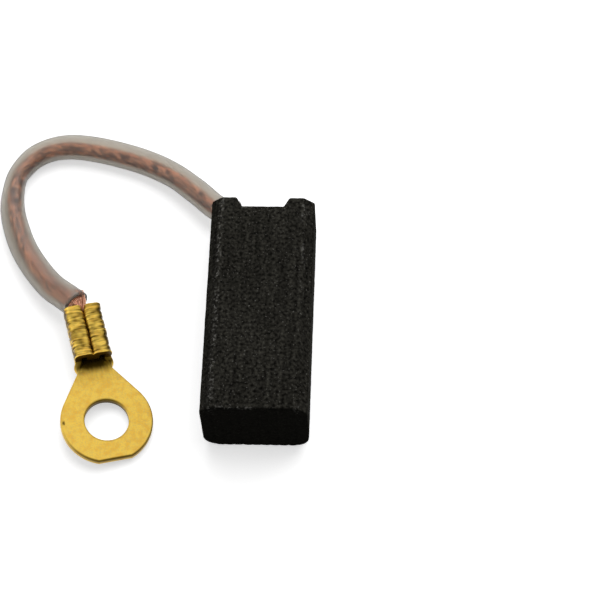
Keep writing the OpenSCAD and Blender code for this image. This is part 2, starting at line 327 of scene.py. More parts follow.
def smooth_line(points, step):
    """Points about step apart along one smooth curve through the given points."""
    last = len(points) - 1
    headings = [
        (points[min(i + 1, last)] - points[max(i - 1, 0)]).normalized() for i in range(last + 1)
    ]
    dense = []
    for i in range(last):
        start, end = points[i], points[i + 1]
        reach = (end - start).length / 3
        curve = geometry.interpolate_bezier(
            start, start + headings[i] * reach, end - headings[i + 1] * reach, end, 30
        )
        dense += curve[:-1]
    dense.append(points[last])
    return resampled(dense, step)


def resampled(line, step):
    """The same line with evenly spaced points about step apart."""
    travelled = [0.0]
    for a, b in zip(line, line[1:]):
        travelled.append(travelled[-1] + (b - a).length)
    count = max(round(travelled[-1] / step), 1)
    result, k = [], 0
    for i in range(count + 1):
        target = travelled[-1] * i / count
        while k < len(line) - 2 and travelled[k + 1] < target:
            k += 1
        span = travelled[k + 1] - travelled[k]
        share = (target - travelled[k]) / span if span else 0
        result.append(line[k].lerp(line[k + 1], min(share, 1)))
    return result


def tangents(line):
    """The direction of a line at each of its points."""
    last = len(line) - 1
    return [(line[min(i + 1, last)] - line[max(i - 1, 0)]).normalized() for i in range(last + 1)]


def carried_frames(line, end_side):
    """(tangent, side, up) along a line, carried back from its end without twist."""
    frames, side = [], end_side
    for tangent in reversed(tangents(line)):
        side = (side - tangent * side.dot(tangent)).normalized()
        frames.append((tangent, side, side.cross(tangent)))
    return frames[::-1]


def ring_of_points(middle, side, up, radius, count):
    """Points evenly round a circle."""
    turns = [2 * math.pi * k / count for k in range(count)]
    return [middle + radius * (math.cos(a) * side + math.sin(a) * up) for a in turns]


def join_rings(bm, a, b):
    """Faces all the way round between two rings of as many vertices."""
    for i in range(len(a)):
        j = (i + 1) % len(a)
        bm.faces.new((a[i], a[j], b[j], b[i]))


def add_tube(bm, rings, layer, shades):
    """A closed tube through rings of points, with a shade for each ring."""
    loops = [[bm.verts.new(p) for p in ring] for ring in rings]
    for loop, shade in zip(loops, shades):
        for vert in loop:
            vert[layer] = shade
    for a, b in zip(loops, loops[1:]):
        join_rings(bm, a, b)
    bm.faces.new(loops[0][::-1])
    bm.faces.new(loops[-1])


def finish_piece(bm, name, material, node):
    """Makes a smooth-shaded piece of the mesh, which stands for a node of the frame."""
    bmesh.ops.recalc_face_normals(bm, faces=bm.faces)
    for face in bm.faces:
        face.smooth = True
    mesh = bpy.data.meshes.new(name)
    bm.to_mesh(mesh)
    bm.free()
    mesh.materials.append(material)
    piece = bpy.data.objects.new(name, mesh)
    bpy.context.scene.collection.objects.link(piece)
    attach(piece, BODY)
    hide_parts(node)
    return piece


def lead_points():
    """The chosen points of the lead's middle line, in metres."""
    return [Vector((x * MM, REAR + behind * MM, z * MM)) for x, behind, z in LEAD_POINTS_MM]


def sleeve_fit(line):
    """The sleeve's width at each place of a line, the way out of the bend, and how far the
    sleeve hangs that way."""
    points = lead_points()[SLEEVE_FIRST:]
    result = []
    for p, tangent in zip(line, tangents(line)):
        near = sorted(range(len(points)), key=lambda k: (points[k] - p).length)[:2]
        a, b = ((points[k] - p).length for k in near)
        first, second = (Vector(SLEEVE_FIT_MM[k]) * MM for k in near)
        width, hang = (first * b + second * a) / (a + b)
        result.append((width, tangent.cross(Vector((0, 0, 1))).normalized(), hang))
    return result


def kink(p):
    """How strongly the sleeve's inner side is buckled at a place, from 0 to 1."""
    return math.exp(-(p - lead_points()[KINK]).length / KINK_REACH)


def barrel_front(t):
    """Distance from the eye's centre to the barrel's front end, in the terminal's own frame."""
    return t.neck_reach + t.trough_rise


def barrel_back(t):
    """Distance from the eye's centre to the barrel's end at the lead."""
    return barrel_front(t) + t.barrel_l


def flex_height(t):
    """Height of the flex's middle over the underside of the barrel."""
    return t.barrel_h / 2 + FLEX_LIFT


def terminal_matrix(t):
    """Turns the terminal's own frame, its eye's centre on the underside and its barrel along
    +X, into the brush's frame."""
    eye = next(m for m in frame["record"]["mounts"] if m["name"] == "terminal_eye")
    corner = Vector(eye["pos_m"]) - Vector(eye["axis"]) * t.sheet / 2
    turn = (
        Matrix.Rotation(t.heading, 4, "Z")
        @ Matrix.Rotation(-t.pitch, 4, "Y")
        @ Matrix.Rotation(t.roll, 4, "X")
    )
    return Matrix.Translation(corner) @ turn


# ---------------------------------------------------------------- materials


def graphite_material(s):
    """Carbon graphite, pressed and finished by grinding: near black and matt, with grains painted
    brighter as painted glints, pale flakes where edges rubbed, faint streaks along the grinding
    direction and painted shade on the contact face."""
    material, tree = new_material("pressed_carbon_graphite")
    place = place_in_mm(tree)
    # Pressed grains and flakes are about 0.05 mm, drawn at 0.143 and 0.091 mm to show. Rubbed
    # spots are about 0.14 mm, and grinding leaves streaks about 0.26 mm wide and 3 mm long
    grains = add_node(
        tree, "ShaderNodeTexNoise", {"Vector": place, "Scale": bumps(0.143), "Detail": 5}
    ).outputs["Fac"]
    flakes = add_node(
        tree, "ShaderNodeTexNoise", {"Vector": place, "Scale": bumps(0.091), "Detail": 1}
    ).outputs["Fac"]
    rubs = add_node(
        tree, "ShaderNodeTexNoise", {"Vector": place, "Scale": bumps(0.139), "Detail": 3}
    ).outputs["Fac"]
    streaks = add_node(
        tree,
        "ShaderNodeTexNoise",
        {"Vector": place_in_mm(tree, (1, 0.08, 1)), "Scale": bumps(0.263), "Detail": 3},
    ).outputs["Fac"]
    # The mesh says where the edges rubbed, and where the contact face gets its painted shade
    wear = add_node(tree, "ShaderNodeAttribute", attribute_name="wear").outputs["Fac"]
    contact_face_shade = add_node(tree, "ShaderNodeAttribute", attribute_name="contact_face_shade").outputs["Fac"]
    painted_glint = add_node(
        # Painted glints: grains are drawn up to twice as bright as the graphite, standing in for light
        # that they catch
        tree, "ShaderNodeMapRange", {0: grains, 1: 0.26, 2: 0.8}, **SOFT_RISE
    ).outputs[0]
    pressed = add_node(
        tree,
        "ShaderNodeMix",
        {0: painted_glint, 6: rgba([0.12 * c for c in s.colour]), 7: rgba([2.1 * c for c in s.colour])},
        **COLOURS,
    ).outputs[2]
    gain = add_node(
        tree, "ShaderNodeMapRange", {0: streaks, 1: 0.36, 2: 0.66, 3: 0.8, 4: 1.3}, **SOFT_RISE
    ).outputs[0]
    streaked = add_node(
        tree, "ShaderNodeMix", {0: 1.0, 6: pressed, 7: gain}, blend_type="MULTIPLY", **COLOURS
    ).outputs[2]
    # Painted shade: the contact face is drawn at 0.4 of the graphite's colour, as if it were turned
    # away from the light
    front_shaded = add_node(
        tree,
        "ShaderNodeMix",
        {0: contact_face_shade, 6: streaked, 7: rgba([0.4 * c for c in s.colour])},
        **COLOURS,
    ).outputs[2]
    sparse = add_node(
        tree, "ShaderNodeMapRange", {0: flakes, 1: 0.64, 2: 0.78, 4: 0.4}, **SOFT_RISE
    ).outputs[0]
    off_contact_face = add_node(
        tree, "ShaderNodeMath", {0: 1.0, 1: contact_face_shade}, operation="SUBTRACT"
    ).outputs[0]
    loose = add_node(
        tree, "ShaderNodeMath", {0: sparse, 1: off_contact_face}, operation="MULTIPLY"
    ).outputs[0]
    spots = add_node(
        tree, "ShaderNodeMapRange", {0: rubs, 1: 0.48, 2: 0.72, 4: 0.8}, **SOFT_RISE
    ).outputs[0]
    rubbed = add_node(
        tree, "ShaderNodeMath", {0: spots, 1: wear}, operation="MULTIPLY"
    ).outputs[0]
    flecked = add_node(
        tree, "ShaderNodeMath", {0: loose, 1: rubbed}, operation="MAXIMUM"
    ).outputs[0]
    colour = add_node(
        tree, "ShaderNodeMix", {0: flecked, 6: front_shaded, 7: rgba(s.fleck)}, **COLOURS
    ).outputs[2]
    bump = add_node(
        tree, "ShaderNodeBump", {"Height": grains, "Strength": 0.7, "Distance": 0.12 * MM}
    ).outputs[0]
    shader = add_node(
        tree,
        "ShaderNodeBsdfPrincipled",
        {"Base Color": colour, "Roughness": 0.9, "Specular IOR Level": 0.01, "Normal": bump},
    ).outputs[0]
    add_node(tree, "ShaderNodeOutputMaterial", {"Surface": shader})
    return material


def tamping_material():
    """Copper-graphite powder, tamped: dark brown grey with fine coppery specks."""
    material, tree = new_material("tamped_copper_graphite")
    # Powder grains are about 0.03 mm, drawn at 0.077 mm to show
    powder = add_node(
        tree,
        "ShaderNodeTexNoise",
        {"Vector": place_in_mm(tree), "Scale": bumps(0.077), "Detail": 4},
    ).outputs["Fac"]
    coppery = add_node(
        tree, "ShaderNodeMapRange", {0: powder, 1: 0.45, 2: 0.7}, **SOFT_RISE
    ).outputs[0]
    colour = add_node(
        tree,
        "ShaderNodeMix",
        {0: coppery, 6: rgba(linear("#2d2522")), 7: rgba(linear("#84563f"))},
        **COLOURS,
    ).outputs[2]
    bump = add_node(
        tree, "ShaderNodeBump", {"Height": powder, "Strength": 0.8, "Distance": 0.12 * MM}
    ).outputs[0]
    shader = add_node(
        tree,
        "ShaderNodeBsdfPrincipled",
        {"Base Color": colour, "Roughness": 0.8, "Normal": bump},
    ).outputs[0]
    add_node(tree, "ShaderNodeOutputMaterial", {"Surface": shader})
    return material


def brass_material(s):
    """Rolled yellow brass, stamped and crimped: satin gold with soft mottling, paler with painted
    highlights on the die's marks, and darkened partly by tarnish in the hollows and partly by painted
    shade and painted reflection."""
    material, tree = new_material("rolled_yellow_brass")
    place = place_in_mm(tree)
    # Handling stains are about 0.3 mm. The mill's grain is about 0.02 mm, drawn at 0.0714 mm
    stains = add_node(
        tree, "ShaderNodeTexNoise", {"Vector": place, "Scale": bumps(0.294), "Detail": 5}
    ).outputs["Fac"]
    mill = add_node(
        tree, "ShaderNodeTexNoise", {"Vector": place, "Scale": bumps(0.0714), "Detail": 2}
    ).outputs["Fac"]
    # The mesh says where the sheet is darkened by tarnish and painted shade, or paler with painted
    # highlights
    tarnish_and_shade = add_node(tree, "ShaderNodeAttribute", attribute_name="tarnish_and_shade").outputs["Fac"]
    stained = add_node(
        tree, "ShaderNodeMapRange", {0: stains, 1: 0.42, 2: 0.66, 4: 0.5}, **SOFT_RISE
    ).outputs[0]
    handled = add_node(
        tree,
        "ShaderNodeMix",
        {0: stained, 6: rgba(s.brass), 7: rgba(linear("#dfa740"))},
        **COLOURS,
    ).outputs[2]
    grained = add_node(
        tree, "ShaderNodeMapRange", {0: mill, 1: 0.45, 2: 0.65, 4: 0.5}, **SOFT_RISE
    ).outputs[0]
    rolled = add_node(
        tree, "ShaderNodeMix", {0: grained, 6: handled, 7: rgba(linear("#d2b566"))}, **COLOURS
    ).outputs[2]
    # Painted highlight: values below 0 pale the brass towards the burnish colour
    burnish_and_highlight = add_node(
        tree, "ShaderNodeMapRange", {0: tarnish_and_shade, 1: -0.6, 2: 0.0, 3: 0.8, 4: 0.0}, **SOFT_RISE
    ).outputs[0]
    pressed = add_node(
        tree, "ShaderNodeMix", {0: burnish_and_highlight, 6: rolled, 7: rgba(s.burnish_highlight)}, **COLOURS
    ).outputs[2]
    # Tarnish and painted shade: values above 0 darken the brass
    deep = add_node(
        tree, "ShaderNodeMapRange", {0: tarnish_and_shade, 1: 0.0, 2: 1.0}, **SOFT_RISE
    ).outputs[0]
    colour = add_node(
        tree, "ShaderNodeMix", {0: deep, 6: pressed, 7: rgba(s.tarnish_shade_colour)}, **COLOURS
    ).outputs[2]
    satin = add_node(
        tree, "ShaderNodeMapRange", {0: stains, 1: 0.3, 2: 0.7, 3: 0.36, 4: 0.46}, **SOFT_RISE
    ).outputs[0]
    bump = add_node(
        tree, "ShaderNodeBump", {"Height": mill, "Strength": 0.25, "Distance": 0.03 * MM}
    ).outputs[0]
    shader = add_node(
        tree,
        "ShaderNodeBsdfPrincipled",
        {"Base Color": colour, "Metallic": 1.0, "Roughness": satin, "Normal": bump},
    ).outputs[0]
    add_node(tree, "ShaderNodeOutputMaterial", {"Surface": shader})
    return material


def copper_material(s):
    """Bunched bare copper strand: bright salmon, dull in patches, and darker where the mesh gives it
    dullness or painted shade.
    """
    material, tree = new_material("bunched_bare_copper")
    # Dull patches are about 0.7 mm long on the wire
    patches = add_node(
        tree,
        "ShaderNodeTexNoise",
        {"Vector": place_in_mm(tree), "Scale": bumps(0.714), "Detail": 3},
    ).outputs["Fac"]
    dull_and_shade = add_node(tree, "ShaderNodeAttribute", attribute_name="dull_and_shade").outputs["Fac"]
    patchy = add_node(
        tree, "ShaderNodeMapRange", {0: patches, 1: 0.5, 2: 0.7, 4: 0.3}, **SOFT_RISE
    ).outputs[0]
    share = add_node(
        tree, "ShaderNodeMath", {0: patchy, 1: dull_and_shade}, operation="MAXIMUM"
    ).outputs[0]
    colour = add_node(
        tree,
        "ShaderNodeMix",
        {0: share, 6: rgba(s.copper), 7: rgba(s.copper_dark)},
        **COLOURS,
    ).outputs[2]
    shader = add_node(
        tree,
        "ShaderNodeBsdfPrincipled",
        {"Base Color": colour, "Metallic": 1.0, "Roughness": 0.35},
    ).outputs[0]
    add_node(tree, "ShaderNodeOutputMaterial", {"Surface": shader})
    return material


def sleeve_material(s):
    """Extruded clear silicone: milky and satin, so that the copper shows through it blurred. It is
    greyer at its rim, partly because the eye looks through more of it there and partly as a painted
    dark reflection. Copper dust smudges the inside of its bore."""
    material, tree = new_material("extruded_clear_silicone")
    facing = add_node(tree, "ShaderNodeLayerWeight", {"Blend": 0.5}).outputs["Facing"]
    # Greyer rim: partly the longer path through the wall, partly a painted dark reflection
    rim = add_node(
        tree, "ShaderNodeMapRange", {0: facing, 1: 0.6, 2: 1.0, 4: 0.95}, **SOFT_RISE
    ).outputs[0]
    clear = add_node(
        tree, "ShaderNodeMix", {0: rim, 6: rgba(s.sleeve), 7: rgba(s.sleeve_rim)}, **COLOURS
    ).outputs[2]
    # Smudges of dust are about 0.16 mm
    smudges = add_node(
        tree,
        "ShaderNodeTexNoise",
        {"Vector": place_in_mm(tree), "Scale": bumps(0.156), "Detail": 4},
    ).outputs["Fac"]
    dust = add_node(tree, "ShaderNodeAttribute", attribute_name="dust").outputs["Fac"]
    smudged = add_node(
        tree, "ShaderNodeMapRange", {0: smudges, 1: 0.42, 2: 0.6}, **SOFT_RISE
    ).outputs[0]
    share = add_node(
        tree, "ShaderNodeMath", {0: smudged, 1: dust}, operation="MULTIPLY"
    ).outputs[0]
    colour = add_node(
        tree, "ShaderNodeMix", {0: share, 6: clear, 7: rgba(s.dust)}, **COLOURS
    ).outputs[2]
    shader = add_node(
        tree,
        "ShaderNodeBsdfPrincipled",
        {"Base Color": colour, "Roughness": 0.34, "IOR": 1.41, "Transmission Weight": 0.93},
    ).outputs[0]
    haze = add_node(
        tree,
        "ShaderNodeVolumeAbsorption",
        {"Color": rgba(linear("#b0aaa0")), "Density": 0.5 / MM},
    ).outputs[0]
    add_node(tree, "ShaderNodeOutputMaterial", {"Surface": shader, "Volume": haze})
    return material


def seen_share(tree):
    """1 where the eye meets the surface, straight, in a reflection or through the sleeve, and 0
    for light on its way to a matt surface."""
    path = add_node(tree, "ShaderNodeLightPath").outputs
    mirrored = add_node(
        tree,
        "ShaderNodeMath",
        {0: path["Is Glossy Ray"], 1: path["Is Transmission Ray"]},
        operation="MAXIMUM",
    ).outputs[0]
    seen = add_node(
        tree, "ShaderNodeMath", {0: path["Is Camera Ray"], 1: mirrored}, operation="MAXIMUM"
    ).outputs[0]
    return add_node(
        tree,
        "ShaderNodeMath",
        {0: seen, 1: path["Diffuse Depth"]},
        operation="SUBTRACT",
        use_clamp=True,
    ).outputs[0]


def floor_material(s):
    """Seamless paper: matt, white to the eye, and greyer to the light that bounces off it."""
    material, tree = new_material("seamless_paper")
    seen = seen_share(tree)
    colour = add_node(
        tree, "ShaderNodeMix", {0: seen, 6: rgba(s.floor), 7: rgba(s.backdrop)}, **COLOURS
    ).outputs[2]
    paper = add_node(tree, "ShaderNodeBsdfDiffuse", {"Color": colour}).outputs[0]
    glow = add_node(
        tree, "ShaderNodeEmission", {"Color": seen, "Strength": PAPER_GLOW}
    ).outputs[0]
    lit = add_node(tree, "ShaderNodeAddShader", {0: paper, 1: glow}).outputs[0]
    add_node(tree, "ShaderNodeOutputMaterial", {"Surface": lit})
    return material


# ---------------------------------------------------------------- block


def squeezed_corner(a, b, rounded):
    """Maps a point of a unit square's corner onto a chamfer's triangle or a quarter disc."""
    spread = math.hypot(a, b) if rounded else a + b
    share = max(a, b) / spread
    return a * share, b * share


def block_section_point(s, x, z):
    """A point of the block's rectangular grid, moved into its chamfered and rounded section."""
    half, top = BLOCK_HIGH.x, BLOCK_HIGH.z
    side = math.copysign(1, x)
    a = (abs(x) - (half - s.chamfer)) / s.chamfer
    b = (z - (top - s.chamfer)) / s.chamfer
    if a > 0 and b > 0:
        a, b = squeezed_corner(a, b, False)
        return side * (half - s.chamfer + a * s.chamfer), top - s.chamfer + b * s.chamfer
    a = (abs(x) - (half - s.round_radius)) / s.round_radius
    b = (s.round_radius - z) / s.round_radius
    if a > 0 and b > 0:
        a, b = squeezed_corner(a, b, True)
        return (
            side * (half - s.round_radius + a * s.round_radius),
            s.round_radius - b * s.round_radius,
        )
    return x, z


def groove_cut(s, x):
    """Depth of the rear groove at x."""
    slope = (s.groove_mouth_w - s.groove_floor_w) / 2
    share = (s.groove_mouth_w / 2 - abs(x)) / slope
    return s.groove_depth * min(max(share, 0), 1)


def bedding_cut(s, x, z):
    """Depth of the bedding grooves at x, a little uneven from groove to groove."""
    at = x / s.bedding_pitch + (s.bedding_count - 1) / 2
    index = min(max(round(at), 0), s.bedding_count - 1)
    away = abs(at - index) * s.bedding_pitch
    uneven = 0.8 + 0.35 * noise.noise(Vector((index * 3.7, z / (4 * MM), 0.5)))
    return s.bedding_depth * uneven * max(1 - away / (s.bedding_w / 2), 0)


def even_lines(low, high, step):
    """Evenly spaced values from low to high, about step apart."""
    count = round((high - low) / step)
    return [low + (high - low) * i / count for i in range(count + 1)]


def block_mesh(s):
    """The block as one closed grid: a box whose grid points are moved into the true form."""
    half, top = BLOCK_HIGH.x, BLOCK_HIGH.z
    fine = s.bedding_pitch / 8
    beds = math.floor(half / fine)
    xs = [-half] + [i * fine for i in range(-beds, beds + 1)] + [half]
    ys = even_lines(FRONT, REAR, s.grid)
    zs = even_lines(0, top, s.grid)
    bend_in = 4 * s.groove_depth

    def shaped(x, y, z):
        """A grid point moved into the block's true form."""
        px, pz = block_section_point(s, x, z)
        pull = max((y - (REAR - bend_in)) / bend_in, 0)
        py = y - groove_cut(s, px) * pull
        if y == ys[0]:
            py += bedding_cut(s, px, pz)
        return Vector((px, py, pz))

    bm = bmesh.new()
    wear = bm.verts.layers.float.new("wear")
    contact_face_shade = bm.verts.layers.float.new("contact_face_shade")
    made = {}

    def vert(i, j, k):
        """The vertex of a grid point, made when it is first asked for."""
        if (i, j, k) not in made:
            made[i, j, k] = bm.verts.new(shaped(xs[i], ys[j], zs[k]))
            # The contact face is marked for painted shade
            made[i, j, k][contact_face_shade] = 0.8 if j == 0 else 0
        return made[i, j, k]

    def face(*corners):
        """A face between grid points."""
        bm.faces.new([vert(*corner) for corner in corners])

    last_x, last_y, last_z = len(xs) - 1, len(ys) - 1, len(zs) - 1
    for i in range(last_x):
        for j in range(last_y):
            for k in (0, last_z):
                face((i, j, k), (i + 1, j, k), (i + 1, j + 1, k), (i, j + 1, k))
        for k in range(last_z):
            for j in (0, last_y):
                face((i, j, k), (i + 1, j, k), (i + 1, j, k + 1), (i, j, k + 1))
    for j in range(last_y):
        for k in range(last_z):
            for i in (0, last_x):
                face((i, j, k), (i, j + 1, k), (i, j + 1, k + 1), (i, j, k + 1))
    open_flex_hole(bm, s)
    bmesh.ops.recalc_face_normals(bm, faces=bm.faces)
    soften_edges(bm)
    roughen_block(bm, s, wear)
    return bm


def open_flex_hole(bm, s):
    """Cuts the round hole for the flex into the groove's floor."""
    centre = Vector((0, 0, BLOCK_HIGH.z / 2))
    floor = REAR - s.groove_depth
    inside = [
        f
        for f in bm.faces
        if abs(f.calc_center_median().y - floor) < 0.01 * MM
        and (f.calc_center_median() - centre).xz.length < s.hole_d / 2
    ]
    bmesh.ops.delete(bm, geom=inside, context="FACES")
    rim = [e for e in bm.edges if e.is_boundary]
    for v in {v for e in rim for v in e.verts}:
        out = (v.co - centre).xz.normalized() * s.hole_d / 2
        v.co.x, v.co.z = centre.x + out.x, centre.z + out.y
    made = bmesh.ops.extrude_edge_only(bm, edges=rim)["geom"]
    for v in (g for g in made if isinstance(g, bmesh.types.BMVert)):
        v.co.y -= s.hole_depth
    bmesh.ops.holes_fill(bm, edges=[g for g in made if isinstance(g, bmesh.types.BMEdge)])


def soften_edges(bm):
    """Rounds every sharp edge a little, as pressing and handling do."""
    sharp = math.radians(28)
    for _ in range(2):
        edge_verts = {
            v
            for e in bm.edges
            if len(e.link_faces) == 2 and e.calc_face_angle(0) > sharp
            for v in e.verts
        }
        bmesh.ops.smooth_vert(
            bm, verts=list(edge_verts), factor=0.5, use_axis_x=True, use_axis_y=True, use_axis_z=True
        )


def roughen_block(bm, s, wear):
    """Gives the surface its pressed grain, chips the upper edges and marks where they rubbed."""
    half, top = BLOCK_HIGH.x, BLOCK_HIGH.z
    bm.normal_update()
    for v in bm.verts:
        co, normal = v.co.copy(), v.normal.copy()
        below = top - co.z
        # The two ridges over the chamfers, and the edges at the contact face and at the rear
        from_ridge = abs(abs(co.x) - (half - s.chamfer)) if below < 1.5 * s.chamfer else 1
        on_ridge = 1 - smoothstep(0.05 * MM, 0.38 * MM, from_ridge)
        on_near_edge = 1 - smoothstep(0.05 * MM, 0.4 * MM, max(co.y - FRONT, below))
        from_rear = REAR - groove_cut(s, co.x) - co.y
        on_rear_edge = 1 - smoothstep(0.05 * MM, 0.35 * MM, max(from_rear, below))
        # The left ridge rubbed along nearly its whole length, the right one in spots
        least = -0.6 if co.x < 0 else 0
        patchy = smoothstep(least, least + 0.5, grain(co, 2.2 * MM, 3))
        v[wear] = max(0.8 * on_ridge, 0.6 * on_near_edge, 0.7 * on_rear_edge) * patchy
        inset = 0.018 * MM * grain(co, 0.3 * MM, 7) + 0.012 * MM * grain(co, 1.1 * MM, 9)
        chip = smoothstep(0.1, 0.5, grain(co, 0.6 * MM, 5)) * max(on_ridge, on_near_edge)
        v.co = co - normal * (inset + 0.08 * MM * chip)


# ---------------------------------------------------------------- terminal


def rounded_lines(start, end, radius, count):
    """Places from start to end, close together within radius of the end, where the edge is
    round."""
    edge = [radius * share for share in (0.55, 0.25, 0.08, 0)]
    inner = end - radius
    lines = [start + (inner - start) * i / count for i in range(count + 1)]
    return lines + [end - e for e in edge]


class SheetBuilder:
    """Turns grids of places on the sheet's middle surface into its two faces and its edges."""

    def __init__(self, t):
        self.t = t
        self.bm = bmesh.new()
        self.tarnish_and_shade = self.bm.verts.layers.float.new("tarnish_and_shade")

    def half(self, edge_distance):
        """Half the sheet's thickness, which the rounded edges take down."""
        r = self.t.edge
        inset = min(max(r - edge_distance, 0), r)
        return self.t.sheet / 2 - r + math.sqrt(r * r - inset * inset)

    def pair(self, middle, over, edge_distance, tarnish_and_shade=(0, 0), press=0):
        """The two points of the faces over and under a place of the middle surface."""
        half = self.half(edge_distance)
        pair = (
            self.bm.verts.new(middle + over * half),
            self.bm.verts.new(middle - over * (half - press)),
        )
        pair[0][self.tarnish_and_shade], pair[1][self.tarnish_and_shade] = tarnish_and_shade
        return pair

    def skin(self, rows, closed=False):
        """Faces over and under a grid of pairs."""
        following = rows[1:] + rows[:1] if closed else rows[1:]
        for a, b in zip(rows, following):
            for j in range(len(a) - 1):
                for side in (0, 1):
                    self.bm.faces.new((a[j][side], a[j + 1][side], b[j + 1][side], b[j][side]))

    def wall(self, pairs):
        """The cut edge of the sheet along a row of pairs."""
        for a, b in zip(pairs, pairs[1:]):
            self.bm.faces.new((a[0], b[0], b[1], a[1]))


def half_lines(t):
    """Places across half of the sheet: the shares of the trough's half width, then the wing."""
    trough_half = trough_reach(t)
    shares = [s / trough_half for s in rounded_lines(0, trough_half, t.edge, 16)]
    wing = rounded_lines(trough_half, sheet_half_length(t), t.edge, 24)[1:]
    return shares, wing


def bend_radius(t):
    """Radius of the barrel's lower corners, along the middle of the sheet."""
    return t.trough_radius - t.sheet / 2


def trough_flat(t):
    """Half the width of the barrel's flat floor."""
    return t.barrel_w / 2 - t.trough_radius


def trough_reach(t):
    """Half the sheet's width where the trough meets the barrel."""
    return trough_flat(t) + bend_radius(t) * math.pi / 2 + t.wall_straight


def lobe(t):
    """Middle radius, sideways place and height of the curl of each wing."""
    outer = (t.barrel_w - t.seam_gap) / 4
    return outer - t.sheet / 2, t.seam_gap / 2 + outer, t.barrel_h - outer


def sheet_half_length(t):
    """Half the sheet's width where the wings are, along its middle."""
    radius, _, height = lobe(t)
    bend = bend_radius(t) * math.pi / 2
    wall = height - t.trough_radius
    return trough_flat(t) + bend + wall + radius * math.pi + height - t.wing_tip_h


def bent_place(along, flat_half, radius, angle):
    """Place (sideways, height) and inward direction on the middle of a sheet that is flat up
    to flat_half and then bends up by angle round radius."""
    bent = min(max(along - flat_half, 0), radius * angle) if angle else 0
    turn = bent / radius if angle else 0
    straight = max(along - flat_half - radius * angle, 0)
    y = min(along, flat_half) + radius * math.sin(turn) + straight * math.cos(turn)
    z = radius * (1 - math.cos(turn)) + straight * math.sin(turn)
    return y, z, (-math.sin(turn), math.cos(turn))


def crimped_place(t, along):
    """Place and inward direction on half of the crimped barrel's section."""
    radius, centre_y, centre_z = lobe(t)
    bend = bend_radius(t)
    wall_start = trough_flat(t) + bend * math.pi / 2
    lobe_start = wall_start + centre_z - t.trough_radius
    lobe_end = lobe_start + radius * math.pi
    if along <= lobe_start:
        y, z, inward = bent_place(along, trough_flat(t), bend, math.pi / 2)
        return y, z + t.sheet / 2, inward
    if along <= lobe_end:
        a = (along - lobe_start) / radius
        return (
            centre_y + radius * math.cos(a),
            centre_z + radius * math.sin(a),
            (-math.cos(a), -math.sin(a)),
        )
    return centre_y - radius, centre_z - (along - lobe_end), (1, 0)


def mirrored(values):
    """A half row from its middle outwards, as a whole row of (side, value) pairs."""
    return [(-1, v) for v in reversed(values[1:])] + [(1, v) for v in values]


def neck_corner(t):
    """The left corner of the flat neck's end, and the angle at which the straight edge from
    there touches the ring."""
    corner = Vector((t.neck_reach, t.neck_w / 2))
    return corner, math.atan2(corner.y, corner.x) + math.acos(t.ring_d / 2 / corner.length)


def ring_outline(t, neck_row):
    """Points round the ring and its tapering neck, starting with the neck's end."""
    radius = t.ring_d / 2
    corner, touch = neck_corner(t)
    crop = math.acos(-t.tip_reach / radius)
    step = math.radians(1.5)
    tangent_point = radius * Vector((math.cos(touch), math.sin(touch)))
    left = [corner.lerp(tangent_point, i / 24) for i in range(1, 24)]
    left += [
        radius * Vector((math.cos(a), math.sin(a))) for a in even_lines(touch, crop, step)
    ]
    crop_point = left[-1]
    across = even_lines(-crop_point.y, crop_point.y, 0.1 * MM)
    tip = [Vector((crop_point.x, -y)) for y in across[1:-1]]
    right = [Vector((p.x, -p.y)) for p in reversed(left)]
    return [Vector((t.neck_reach, y)) for y in neck_row] + left + tip + right


def edge_distance_on_ring(t, p):
    """Distance from a point of the flat ring and neck to the nearest cut edge."""
    radius = t.ring_d / 2
    _, touch = neck_corner(t)
    if math.atan2(abs(p.y), p.x) > touch:
        outer = radius - p.length
    else:
        outer = radius - p.x * math.cos(touch) - abs(p.y) * math.sin(touch)
    return max(min(outer, p.x + t.tip_reach, p.length - t.eye_d / 2), 0)


def ring_pair(sheet, t, flat):
    """The two points of the sheet at a place of the flat ring, with its sag and its dent."""
    away = edge_distance_on_ring(t, flat)
    sag = 0.012 * MM * grain(Vector((*flat, 0)), 3 * MM, 4)
    sag *= smoothstep(0.2 * MM, 1.2 * MM, t.neck_reach - flat.x)
    from_dent = math.hypot(0.55 * (flat.x - NICK.x), flat.y - NICK.y)
    dent = 1 - smoothstep(0.05 * MM, 0.2 * MM, from_dent)
    # Painted reflection and shade at the cut edges: darker at the rim most away from the neck, where
    # dark surroundings would be mirrored, and at the eye most towards it, whose inner wall lies in
    # shade
    by_eye = 1 - smoothstep(0.05 * MM, 0.2 * MM, flat.length - t.eye_d / 2)
    by_rim = (1 - smoothstep(0.06 * MM, 0.24 * MM, away)) * (1 - by_eye)
    to_neck = flat.normalized().x
    edge_shade = by_rim * (0.3 + 0.6 * max(-to_neck, 0)) + by_eye * (0.2 + 0.7 * max(to_neck, 0))
    above = max(0.85 * dent, edge_shade, neck_shade(t, flat.x, flat.y))
    below = 0.2 * by_rim + 0.98 * by_eye
    place = Vector((*flat, t.sheet / 2 + sag))
    pair = sheet.pair(place, Vector((0, 0, 1)), away, (above, below))
    pair[0].co.z -= 0.1 * MM * dent
    return pair


def build_ring(sheet, t, neck_row):
    """The flat ring round its eye, out to the neck."""
    rows = []
    for outer in ring_outline(t, neck_row):
        inner = outer.normalized() * t.eye_d / 2
        reach = (outer - inner).length
        half = rounded_lines(reach / 2, reach, t.edge, 9)
        places = [reach - along for along in reversed(half)] + half[1:]
        rows.append([ring_pair(sheet, t, inner.lerp(outer, along / reach)) for along in places])
    sheet.skin(rows, closed=True)
    sheet.wall([row[0] for row in rows] + [rows[0][0]])
    sheet.wall([row[-1] for row in rows[len(neck_row) - 1 :]] + [rows[0][-1]])


